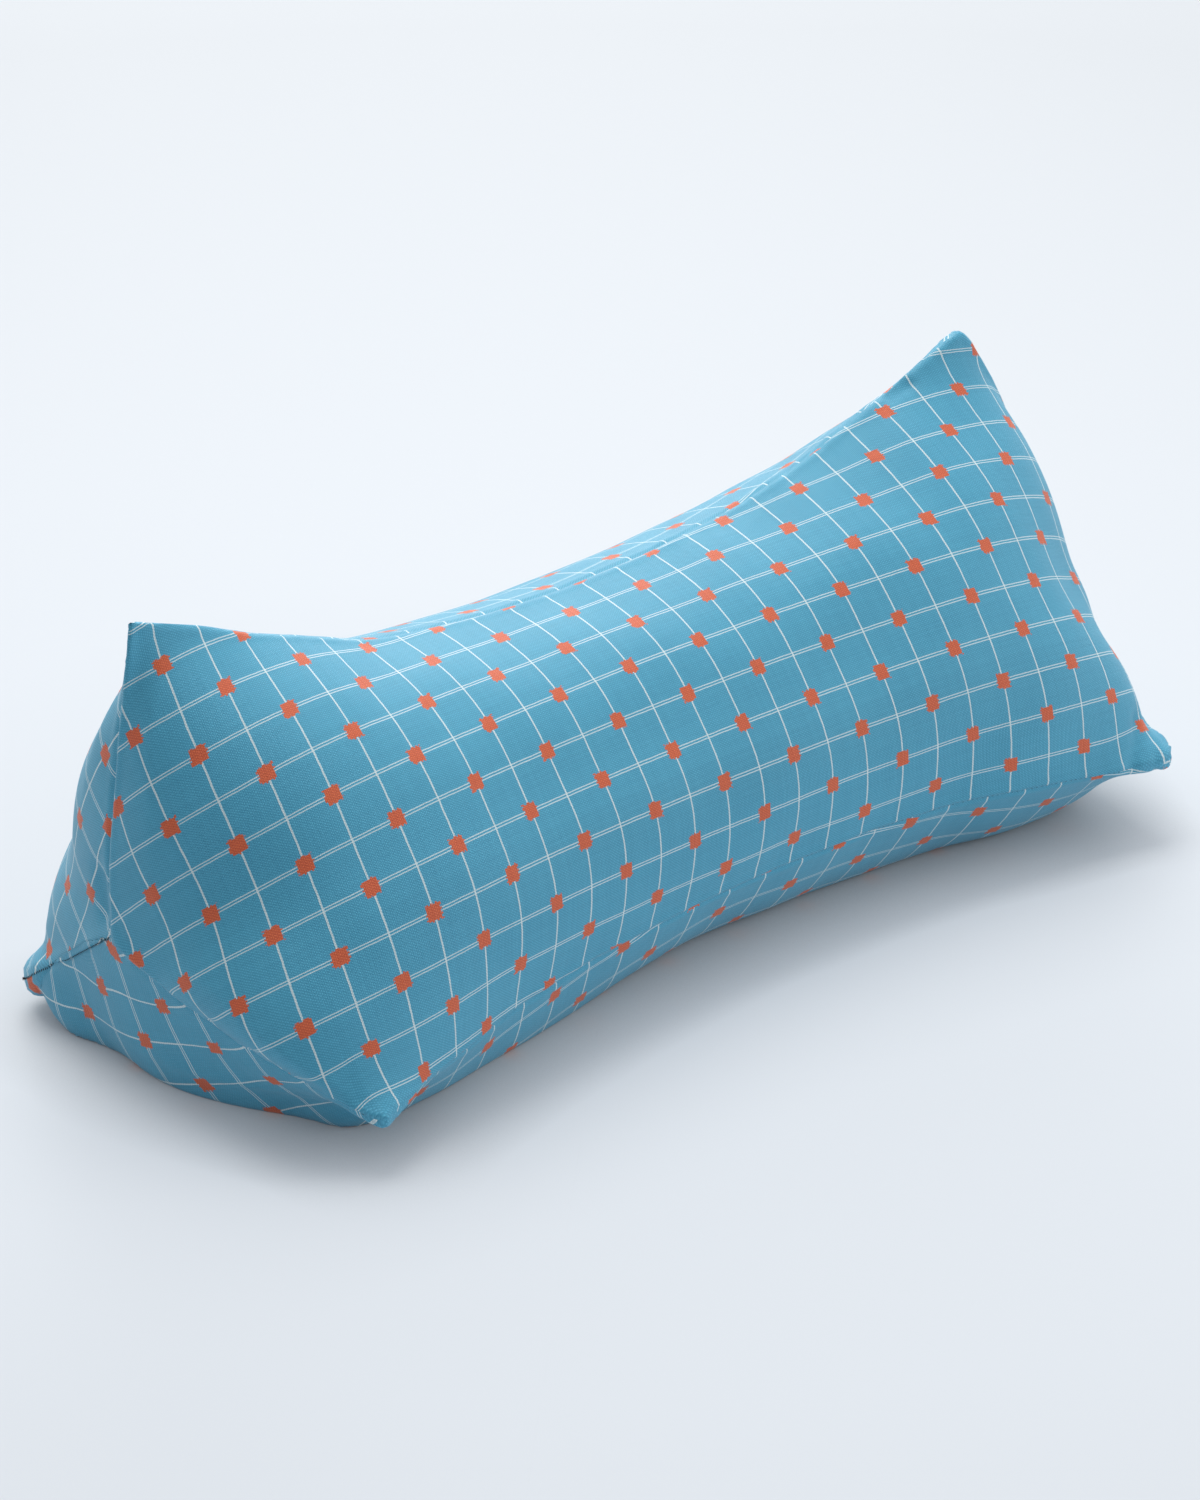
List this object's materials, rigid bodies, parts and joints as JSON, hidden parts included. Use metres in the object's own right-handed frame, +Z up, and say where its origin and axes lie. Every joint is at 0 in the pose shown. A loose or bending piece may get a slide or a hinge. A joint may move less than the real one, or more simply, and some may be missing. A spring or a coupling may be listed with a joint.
{
  "type": "neck roll pillow",
  "caption": "Filled triangular neck roll pillow in checked blue cotton, drawn in at the waist, with pointed corners and a Y-shaped seam at each end.",
  "frame": {"origin": "middle of the footprint, on the surface that the pillow rests on", "axes": "+X along the pillow, from the end closed by hand towards the other; -Y is the front; +Z up through the top seam"},
  "size_m": [0.4022, 0.1789, 0.1689],
  "materials": {
    "blue_cotton": "matt woven cotton with white check lines and orange squares"
  },
  "bodies": {
    "root": {"cushion": "blue_cotton"}
  },
  "joints": []
}
